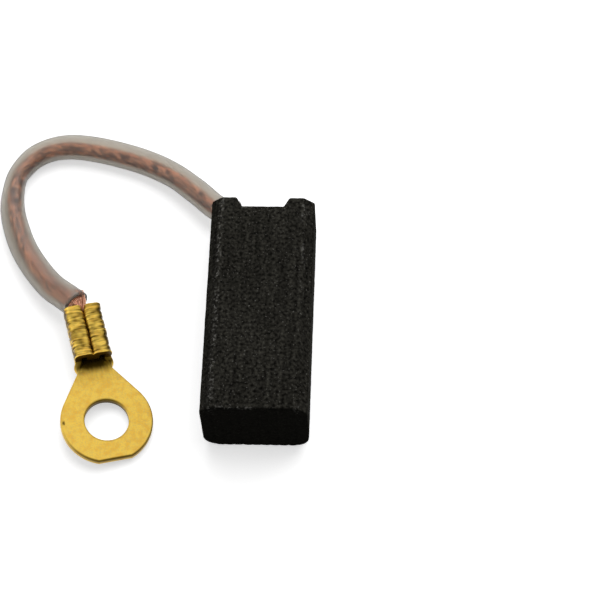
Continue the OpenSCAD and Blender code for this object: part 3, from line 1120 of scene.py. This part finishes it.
def neck_shade(t, x, y):
    """How far painted shade darkens the neck's upper face on its way into the barrel's mouth, with
    faint drawn lines.
    """
    deep = 0.92 * smoothstep(t.neck_reach - 0.5 * MM, t.neck_reach + 0.95 * t.trough_rise, x)
    lines = noise.noise(Vector((x / (1.4 * MM), y / (0.14 * MM), 0.3)))
    on_neck = smoothstep(t.neck_reach - 2.4 * MM, t.neck_reach - 0.4 * MM, x)
    return min(max(deep + on_neck * (0.22 + 0.14 * lines), 0), 0.95)


def build_neck(sheet, t, shares):
    """The stretch where the flat neck turns up into the barrel's trough."""
    steps = 12
    rows = []
    for i in range(steps + 1):
        x = t.neck_reach + t.trough_rise * i / steps
        share = smoothstep(0, steps, i)
        half_width = t.neck_w / 2 + (trough_reach(t) - t.neck_w / 2) * share
        bend = bend_radius(t) * math.pi / 2
        flat_start = t.neck_w / 2 - bend
        flat_half = flat_start + (trough_flat(t) - flat_start) * share
        angle = math.pi / 2 * share
        radius = bend / angle if angle else 1
        row = []
        for side, part in mirrored(shares):
            along = part * half_width
            y, z, inward = bent_place(along, flat_half, radius, angle)
            place = Vector((x, side * y, z + t.sheet / 2))
            over = Vector((0, side * inward[0], inward[1]))
            shade = neck_shade(t, x, side * y)
            # Painted shade on the neck's underside, and on its cut edges more towards the barrel
            cut = 0.8 * share if along == half_width else 0.3
            row.append(sheet.pair(place, over, half_width - along, (shade, cut)))
        rows.append(row)
    sheet.skin(rows)
    sheet.wall([row[0] for row in rows])
    sheet.wall([row[-1] for row in rows])


def die_marks(t, x, around):
    """How deep the crimping die's marks are at a place of the barrel, and how much tarnish and painted
    shade darken the brass there. A value below 0 gives a painted highlight, drawn in the burnish
    colour."""
    here = Vector((x, around, 0))
    # Ribs go round the barrel, a little crooked
    pitch = (t.barrel_l + t.rib_gap) / t.rib_count
    crooked = 0.09 * MM * grain(here, 1.1 * MM, 11) + 0.12 * MM * math.sin(around / (0.8 * MM))
    phase = (x + crooked) / pitch % 1
    rib = 1 - smoothstep(0.1 * t.rib_gap, t.rib_gap, min(phase, 1 - phase) * pitch)
    # Fine scratches go round with them, at a slant
    scratch = Vector(((x + 0.12 * abs(around)) / (0.17 * MM), around / (0.9 * MM), 3.1))
    fine = noise.noise(scratch) + 0.5 * noise.noise(2.1 * scratch + Vector((7, 7, 7)))
    # The barrel's wall, and the shoulder over it where the wing starts to curl
    reach = abs(around) / sheet_half_length(t)
    wall = smoothstep(0.42, 0.5, reach) * (1 - smoothstep(0.58, 0.66, reach))
    shoulder = smoothstep(0.54, 0.6, reach) * (1 - smoothstep(0.64, 0.71, reach))
    depth = (0.45 + 0.55 * wall) * t.rib_h * rib + 0.014 * MM * (0.5 - fine)
    blotch = smoothstep(-0.2, 0.3, grain(Vector((x, 0.5 * around, 0)), 0.45 * MM, 15))
    tarnish_shade_highlight = 0.45 + 0.12 * rib + 0.25 * grain(here, 0.7 * MM, 21) + 0.4 * grain(here, 0.3 * MM, 31)
    # Painted shade in the scratches' troughs and painted highlights on their crests
    tarnish_shade_highlight += 0.28 * smoothstep(0.0, 0.8, -fine) - 0.75 * smoothstep(0.2, 0.8, fine)
    # On the right, a painted dark reflection of the block on the shoulder and wall; on the left,
    # painted shade on the wall in blotches
    if around < 0:
        tarnish_shade_highlight += shoulder * (0.26 + 0.22 * blotch) + 0.2 * wall * blotch
    else:
        tarnish_shade_highlight += wall * (0.15 + 0.35 * blotch)
    return max(depth, 0), min(max(tarnish_shade_highlight, -0.6), 0.92)


def flat_top(t, along):
    """How far the press pushed the curl of a wing out at its two shoulders."""
    radius, _, height = lobe(t)
    start = trough_flat(t) + bend_radius(t) * math.pi / 2 + height - t.trough_radius
    turn = min(max((along - start) / radius, 0), math.pi)
    push = 0.1 * MM if turn < math.pi / 2 else 0.22 * MM
    return push * math.sin(2 * turn) ** 2


def barrel_pair(sheet, t, x, side, along):
    """The two points of the sheet at a place of the barrel: x from the eye, and along the
    sheet's half section from the middle of its floor to the wing's tip."""
    start, end = barrel_front(t), barrel_back(t)
    trough_half, whole = trough_reach(t), sheet_half_length(t)
    y, z, inward = crimped_place(t, along)
    over = Vector((0, side * inward[0], inward[1]))
    # The wings flare at both ends, part at the lead and sway a little
    on_wing = smoothstep(trough_half, trough_half + 0.6 * MM, along)
    flare = t.lip_h * (1 - smoothstep(0, t.lip_l, x - start))
    flare += 0.5 * t.lip_h * smoothstep(end - 0.5 * t.lip_l, end, x)
    parted = 0.2 * MM * smoothstep(end - 0.7 * MM, end + 0.1 * MM, x)
    parted *= smoothstep(0.62 * whole, 0.9 * whole, along)
    sway = 0.05 * MM * grain(Vector((x, 0, 0)), 1.6 * MM, 2) * on_wing
    middle = Vector((x, side * (y + parted) + sway, z)) - over * flare * on_wing
    # The trough runs on into the neck, so at the front only the wings have a cut edge
    beside = max(trough_half - along, 0)
    away = min(math.hypot(beside, x - start), end - x, whole - along)
    # The marks fade towards both ends, and the seam and the cut ends get painted shade
    depth, tarnish_shade_highlight = die_marks(t, x - start, side * along)
    fade = smoothstep(0, 0.25 * MM, x - start) * smoothstep(0, 0.15 * MM, end - x)
    seam = 0.9 * smoothstep(0.92 * whole, 0.98 * whole, along)
    cut = 1 if min(x - start, end - x) < 0.01 * MM else 0
    press = depth * fade - flat_top(t, along)
    # The inside of the barrel gets painted shade
    return sheet.pair(middle, over, away, (0.95, max(tarnish_shade_highlight * fade, seam, cut)), press)


def build_barrel(sheet, t, shares, wing):
    """The crimped barrel: floor, walls and two wings that curl in to meet over the strands."""
    start, end = barrel_front(t), barrel_back(t)
    half = [share * trough_reach(t) for share in shares] + wing
    back = rounded_lines((start + end) / 2, end, t.edge, 68)
    stations = [start + end - x for x in reversed(back)] + back[1:]
    rows = [
        [barrel_pair(sheet, t, x, side, along) for side, along in mirrored(half)]
        for x in stations
    ]
    sheet.skin(rows)
    for edge in (0, -1):
        sheet.wall([row[edge] for row in rows])
    # The whole end at the lead is cut, and at the front the two wings
    sheet.wall(rows[-1])
    sheet.wall(rows[0][: len(wing) + 1])
    sheet.wall(rows[0][-len(wing) - 1 :])


def terminal_mesh(t):
    """The whole terminal as one sheet, in the brush's frame."""
    sheet = SheetBuilder(t)
    shares, wing = half_lines(t)
    neck_row = [side * part * t.neck_w / 2 for side, part in mirrored(shares)]
    build_ring(sheet, t, neck_row)
    build_neck(sheet, t, shares)
    build_barrel(sheet, t, shares, wing)
    bmesh.ops.remove_doubles(sheet.bm, verts=sheet.bm.verts, dist=0.001 * MM)
    sheet.bm.transform(terminal_matrix(t))
    return sheet.bm


# ---------------------------------------------------------------- lead


def layered_strands(layers, radius):
    """Places of strands in rings round a middle one, for a bundle of that radius, and half a
    strand's thickness."""
    strand = radius / (layers + 0.5)
    places = [(0.0, 0.0)]
    for ring in range(1, layers + 1):
        count = 6 * ring
        for i in range(count):
            a = 2 * math.pi * (i + 0.5 * (ring % 2)) / count
            places.append((ring * strand * math.cos(a), ring * strand * math.sin(a)))
    return places, strand / 2


def crimped_strands(t, count, strand_r):
    """As many places for strands in the barrel's cavity, from its floor upwards."""
    half, floor = t.barrel_w / 2 - t.sheet, t.sheet
    # The press squeezed the strands a little closer than touching
    pitch = 1.9 * strand_r
    rows = math.ceil(t.barrel_h / (pitch * math.sqrt(3) / 2))
    across = round(half / pitch) + 1
    spots = []
    for row in range(rows):
        z = floor + strand_r + row * pitch * math.sqrt(3) / 2
        for i in range(-across, across + 1):
            y = (i + 0.5 * (row % 2)) * pitch
            tips = abs(y) < t.sheet + strand_r and z > t.wing_tip_h - strand_r
            beyond = abs(y) > half - strand_r - 0.04 * MM * (row == 0)
            if not tips and not beyond:
                spots.append((y, z))
    return spots[:count]


def in_columns(places, columns=9):
    """Indices of places sorted across into columns, and upwards within each."""
    by_side = sorted(range(len(places)), key=lambda i: places[i][0])
    size = math.ceil(len(places) / columns)
    result = []
    for start in range(0, len(places), size):
        column = by_side[start : start + size]
        result += sorted(column, key=lambda i: places[i][1])
    return result


def flex_line(t):
    """Middle line of the flex, from its end in the block to its end in the barrel."""
    to_brush = terminal_matrix(t)
    back = barrel_back(t)
    depth = (HOLE_DEPTH_MM - FLEX_END_GAP_MM) * MM
    leaves = Vector(FLEX_EXIT)
    points = [leaves - Vector((0, depth, 0)), leaves, *lead_points()]
    # Straight into the barrel, and on to where the strands end
    for x in (back + 0.7 * MM, back + 0.25 * MM, barrel_front(t) + STRAND_RECESS):
        points.append(to_brush @ Vector((x, 0, flex_height(t))))
    return smooth_line(points, STRAND_STEP)


def flex_swell(line, i):
    """The flex's width at a place, as a share of its nominal size: it is drawn thin where it was
    pulled through the sleeve, and its strands spread again towards the terminal."""
    along = i / (len(line) - 1)
    if along > 0.5:
        return FLEX_SLIM + FLEX_SPREAD * smoothstep(0.7, 0.88, along)
    return 1 + (FLEX_SLIM - 1) * smoothstep(REAR, REAR + 2 * MM, line[i].y)


def flex_lean(s, line):
    """How far the flex is off its line at each place, because it hugs the inner side of the
    sleeve's bore, except near both ends."""
    leans = []
    for i, (width, outward, hang) in enumerate(sleeve_fit(line)):
        room = (s.sleeve_bore * width / s.sleeve_d - 1.05 * s.flex_d * flex_swell(line, i)) / 2
        room -= 0.2 * MM * kink(line[i]) + 0.07 * MM
        from_end = len(line) - 1 - i
        # The sleeve's stretch, counted in steps along the line from either end
        hugging = smoothstep(16, 30, i) * smoothstep(8, 34, from_end)
        in_sleeve = smoothstep(12, 20, i) * smoothstep(4, 10, from_end)
        leans.append(outward * (hang * in_sleeve - room * hugging))
    smooth = []
    for i in range(len(leans)):
        near = leans[max(i - 2, 0) : i + 3]
        smooth.append(sum(near, Vector()) / len(near))
    return smooth


def strand_shade(section, off, along):
    """How dark a strand is, from 0 to 1: dull in patches, with painted shade under the flex and on its
    left and front flank, and less dark towards the terminal. off says where the strand lies, from the
    flex's middle and in shares of its radius."""
    patches = 0.7 * grain(section, 1.5 * MM, 12) + 2.6 * grain(section, 0.38 * MM, 14)
    # Painted shade: darker underneath and on the left and front flank, as if lit from the right and
    # behind
    shade = 0.3 + patches - 0.2 * off.z - 0.35 * off.x - 0.45 * off.y
    shade += 0.3 * smoothstep(0.46, 0.56, along) - 1.1 * smoothstep(0.7, 0.84, along)
    return min(max(shade, 0), 1)


def wedge_strands(t):
    """Lines of the few strands that ride over the wings' ends and dive into the seam."""
    end = barrel_back(t)
    to_brush = terminal_matrix(t)
    count = 7
    lines = []
    for i in range(count):
        across = 2 * i / (count - 1) - 1
        lift = 0.1 * MM * math.cos(across * 1.4) + 0.09 * MM * (i % 2)
        points = [
            (end + 1.9 * MM, 0.5 * MM * across, 1.6 * MM + lift),
            (end + 0.9 * MM, 0.46 * MM * across, 1.8 * MM + lift),
            (end + 0.3 * MM, 0.36 * MM * across, 1.9 * MM + lift),
            (end - 0.1 * MM, 0.2 * MM * across, 1.85 * MM + lift),
            (end - 0.6 * MM, 0.06 * MM * across, 1.6 * MM),
        ]
        lines.append(smooth_line([to_brush @ Vector(p) for p in points], 0.15 * MM))
    return lines


def strand_pairs(s, t):
    """For each strand its place in the round flex and its place in the barrel, and half its
    thickness. Both orders go in columns, so that neighbours stay neighbours."""
    round_places, strand_r = layered_strands(s.layers, s.flex_d / 2)
    crimped = crimped_strands(t, len(round_places), strand_r)
    round_places = round_places[-len(crimped) :]
    partner = dict(zip(in_columns(round_places), in_columns(crimped)))
    pairs = [(place, crimped[partner[k]]) for k, place in enumerate(round_places)]
    return pairs, strand_r


def flex_mesh(s, t, line):
    """Every strand that shows, as a twisted round tube. In the barrel the strands are pressed
    into the room between its floor and the curled wings."""
    from_brush = terminal_matrix(t).inverted()
    across = terminal_matrix(t).to_3x3() @ Vector((0, 1, 0))
    frames = carried_frames(line, across)
    leans = flex_lean(s, line)
    pairs, strand_r = strand_pairs(s, t)
    # How far each place lies behind the barrel: only the line's second half can be in it
    beyond = [
        (from_brush @ p).x - barrel_back(t) if 2 * i > len(line) else math.inf
        for i, p in enumerate(line)
    ]
    pressed = [1 - smoothstep(-0.4 * MM, 0.5 * MM, x) for x in beyond]
    # Painted shade on the strands' ends inside the barrel's mouth
    mouth_shade = [1 - smoothstep(-1.6 * MM, -0.2 * MM, x) for x in beyond]
    bare = [smoothstep(-0.5 * MM, 0, x) * (1 - smoothstep(1 * MM, 1.6 * MM, x)) for x in beyond]
    uneven = [
        smoothstep(-0.3, 0.3, noise.noise(Vector((2.7 * k, 4.1, 0)))) for k in range(len(pairs))
    ]
    bm = bmesh.new()
    dull_and_shade = bm.verts.layers.float.new("dull_and_shade")

    def strand_ring(index, i):
        """The ring of points round a strand at a place of the line, and how dull and shaded it is."""
        (a, b), (y, z) = pairs[index]
        _, side, up = frames[i]
        twist = 2 * math.pi * STRAND_STEP * (len(line) - 1 - i) / s.lay
        cos, sin = math.cos(twist), math.sin(twist)
        # The flex is a little oval, and each strand strays a little from its place
        oval = 1 + 0.05 * math.cos(2 * twist * 2.3 + 1)
        slim = flex_swell(line, i)
        stray = 0.04 * MM * noise.noise(Vector((index * 5.3, i * 0.11, 0)))
        free = (1 + stray / (s.flex_d / 2)) * (1 - pressed[i])
        pa = (a * cos - b * sin) * oval * slim * free + y * pressed[i]
        pb = (a * sin + b * cos) / oval * slim * free + (z - flex_height(t)) * pressed[i]
        centre = line[i] + leans[i] + side * pa + up * pb
        section = Vector((0.9 * i * STRAND_STEP, 1.8 * pa, 1.8 * pb))
        off = (side * pa + up * pb) / (s.flex_d / 2)
        shade = strand_shade(section, off, i / (len(line) - 1))
        shade += (0.6 * uneven[index] - shade) * bare[i]
        return ring_of_points(centre, side, up, strand_r, 5), max(shade, mouth_shade[i])

    # Strands inside the flex are hidden up to the barrel
    outer_first = s.flex_d / 2 - 4.2 * strand_r
    first_pressed = next(i for i, share in enumerate(pressed) if share > 0)
    for index, (place, _) in enumerate(pairs):
        begin = 0 if math.hypot(*place) > outer_first else max(first_pressed - 2, 0)
        strand = [strand_ring(index, i) for i in range(begin, len(line))]
        add_tube(bm, [ring for ring, _ in strand], dull_and_shade, [shade for _, shade in strand])
    for index, way in enumerate(wedge_strands(t)):
        rings = [
            ring_of_points(p, side, up, 0.07 * MM, 6)
            for p, (_, side, up) in zip(way, carried_frames(way, across))
        ]
        add_tube(bm, rings, dull_and_shade, [0.8 * uneven[index]] * len(way))
    return bm


def sleeve_mesh(s):
    """Hollow sleeve, slightly uneven, cut square at the block and a little askew at the
    terminal, where it reaches up to the barrel."""
    line = smooth_line(lead_points()[SLEEVE_FIRST:], SLEEVE_STEP)
    frames = carried_frames(line, Vector((0, 0, 1)))
    fit = sleeve_fit(line)
    sides = 40
    bm = bmesh.new()
    dust = bm.verts.layers.float.new("dust")

    def loop(i, radius, buckle, dusty):
        """A ring of vertices of one wall, pushed in where the bend buckled it."""
        along, up, side = frames[i]
        width, outward, hang = fit[i]
        side = side * width / s.sleeve_d
        middle = line[i] + outward * hang
        pushed = buckle * kink(line[i])
        at_cut = smoothstep(len(line) - 5, len(line) - 1, i) * MM
        ring = []
        for k in range(sides):
            a = 2 * math.pi * k / sides
            out = math.cos(a) * side + math.sin(a) * up
            uneven = 1 + 0.015 * grain(middle + out * radius, 2.5 * MM, 6)
            turn = out.normalized().dot(outward)
            place = middle + out * radius * uneven + outward * pushed * max(-turn, 0)
            ring.append(bm.verts.new(place + along * at_cut * (0.45 - 0.2 * turn)))
            ring[-1][dust] = dusty * (1 - smoothstep(0.2, 0.75, turn))
        return ring

    places = range(len(line))
    outer = [loop(i, s.sleeve_d / 2, BUCKLE_OUTSIDE, 0) for i in places]
    inner = [loop(i, s.sleeve_bore / 2, BUCKLE_INSIDE, 0.45) for i in places]
    for loops in (outer, inner):
        for a, b in zip(loops, loops[1:]):
            join_rings(bm, a, b)
    for end in (0, -1):
        join_rings(bm, outer[end], inner[end])
    return bm


# ---------------------------------------------------------------- operators


class BRUSH_OT_studio(bpy.types.Operator):
    """Sets up the camera, the floor and the light"""

    bl_idname = "brush.studio"
    bl_label = "Studio"

    def execute(self, context):
        s = context.scene.brush_studio
        scene = context.scene
        scene.view_settings.view_transform = "Standard"
        camera = bpy.data.objects.new("camera", bpy.data.cameras.new("camera"))
        camera.data.lens = s.lens
        camera.data.sensor_width = 36
        camera.data.clip_start = 0.001
        view = Vector(s.camera_aim) - Vector(s.camera_place)
        upright = view.to_track_quat("-Z", "Y").to_matrix().to_4x4()
        camera.matrix_world = (
            Matrix.Translation(s.camera_place) @ upright @ Matrix.Rotation(s.camera_roll, 4, "Z")
        )
        scene.collection.objects.link(camera)
        scene.camera = camera
        self.add_floor(scene, s)
        # Only the fill lamp shows in the brass and the sleeve
        self.add_lamp(scene, "key", (0.10, 0.25, 0.37), 0.60, s.key_power, False)
        self.add_lamp(scene, "fill", (-0.35, -0.05, 0.30), 0.30, s.fill_power, True)
        self.add_world(scene, s)
        return {"FINISHED"}

    def add_floor(self, scene, s):
        """A sheet of paper under the object, far wider than the view."""
        bm = bmesh.new()
        corners = [(-1, -1), (1, -1), (1, 1), (-1, 1)]
        bm.faces.new(
            [bm.verts.new((x * FLOOR_HALF, y * FLOOR_HALF, -FLOOR_GAP)) for x, y in corners]
        )
        mesh = bpy.data.meshes.new("floor")
        bm.to_mesh(mesh)
        bm.free()
        mesh.materials.append(floor_material(s))
        floor = bpy.data.objects.new("floor", mesh)
        scene.collection.objects.link(floor)

    def add_lamp(self, scene, name, place, width, power, mirrored):
        """A square soft lamp that points at the middle of the floor."""
        lamp = bpy.data.lights.new(name, "AREA")
        lamp.shape = "SQUARE"
        lamp.size = width
        lamp.energy = power
        holder = bpy.data.objects.new(name, lamp)
        holder.visible_glossy = mirrored
        aimed = (-Vector(place)).to_track_quat("-Z", "Y").to_matrix().to_4x4()
        holder.matrix_world = Matrix.Translation(place) @ aimed
        scene.collection.objects.link(holder)

    def add_world(self, scene, s):
        """Even light from all round, white where it is seen or mirrored."""
        world = bpy.data.worlds.new("studio")
        world.use_nodes = True
        tree = world.node_tree
        tree.nodes.clear()
        colour = add_node(
            tree,
            "ShaderNodeMix",
            {0: seen_share(tree), 6: rgba(s.surround), 7: rgba(s.backdrop)},
            **COLOURS,
        ).outputs[2]
        background = add_node(
            tree, "ShaderNodeBackground", {"Color": colour, "Strength": 1.0}
        ).outputs[0]
        add_node(tree, "ShaderNodeOutputWorld", {"Surface": background})
        scene.world = world


class BRUSH_OT_terminal(bpy.types.Operator):
    """Builds the ring terminal, one stamped, folded and crimped sheet of brass"""

    bl_idname = "brush.terminal"
    bl_label = "Ring terminal"

    def execute(self, context):
        t = context.scene.brush_terminal
        bm = terminal_mesh(t)
        finish_piece(bm, "crimped_ring_terminal", brass_material(t), "ring_terminal")
        return {"FINISHED"}


class BRUSH_OT_sleeve(bpy.types.Operator):
    """Builds the clear sleeve over the flex"""

    bl_idname = "brush.sleeve"
    bl_label = "Sleeve"

    def execute(self, context):
        s = context.scene.brush_lead
        finish_piece(sleeve_mesh(s), "silicone_sleeve", sleeve_material(s), "sleeve")
        return {"FINISHED"}


class BRUSH_OT_flex(bpy.types.Operator):
    bl_idname = "brush.flex"
    bl_label = "Copper flex"

    def execute(self, context):
        s, t = context.scene.brush_lead, context.scene.brush_terminal
        line = flex_line(t)
        flex = finish_piece(
            flex_mesh(s, t, line), "stranded_copper_flex", copper_material(s), "copper_flex"
        )
        return {"FINISHED"}


class BRUSH_OT_block(bpy.types.Operator):
    """Builds the pressed graphite block"""

    bl_idname = "brush.block"
    bl_label = "Block"

    def execute(self, context):
        s = context.scene.brush_block
        finish_piece(block_mesh(s), "graphite_block", graphite_material(s), "carbon_block")
        return {"FINISHED"}


class BRUSH_OT_tamping(bpy.types.Operator):
    """Gives the tamped filling its finish"""

    bl_idname = "brush.tamping"
    bl_label = "Tamped filling"

    def execute(self, context):
        plug = frame["nodes"]["tamping_plug"]
        plug.data.materials.clear()
        plug.data.materials.append(tamping_material())
        return {"FINISHED"}


class BRUSH_PT_panel(bpy.types.Panel):
    """Lists the steps and their sizes"""

    bl_idname = "BRUSH_PT_panel"
    bl_label = "Carbon Brush"
    bl_space_type = "VIEW_3D"
    bl_region_type = "UI"
    bl_category = "Carbon Brush"

    def draw(self, context):
        for operator in OPERATORS:
            self.layout.operator(operator.bl_idname)
        for name in SETTINGS:
            box = self.layout.box()
            group = getattr(context.scene, name)
            for key in group.__annotations__:
                box.prop(group, key)


SETTINGS = {
    "brush_studio": BRUSH_PG_studio,
    "brush_terminal": BRUSH_PG_terminal,
    "brush_lead": BRUSH_PG_lead,
    "brush_block": BRUSH_PG_block,
}
OPERATORS = (
    BRUSH_OT_studio,
    BRUSH_OT_terminal,
    BRUSH_OT_sleeve,
    BRUSH_OT_flex,
    BRUSH_OT_block,
    BRUSH_OT_tamping,
)
CLASSES = (*SETTINGS.values(), *OPERATORS, BRUSH_PT_panel)


def register():
    for item in CLASSES:
        bpy.utils.register_class(item)
    for name, group in SETTINGS.items():
        setattr(bpy.types.Scene, name, PointerProperty(type=group))


def unregister():
    for name in SETTINGS:
        delattr(bpy.types.Scene, name)
    for item in reversed(CLASSES):
        bpy.utils.unregister_class(item)


def main():
    """Builds the finished brush in the frame."""
    register()
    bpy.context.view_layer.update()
    bpy.ops.brush.studio()
    bpy.ops.brush.terminal()
    bpy.ops.brush.sleeve()
    bpy.ops.brush.flex()
    bpy.ops.brush.block()
    bpy.ops.brush.tamping()


if __name__ == "__main__":
    main()
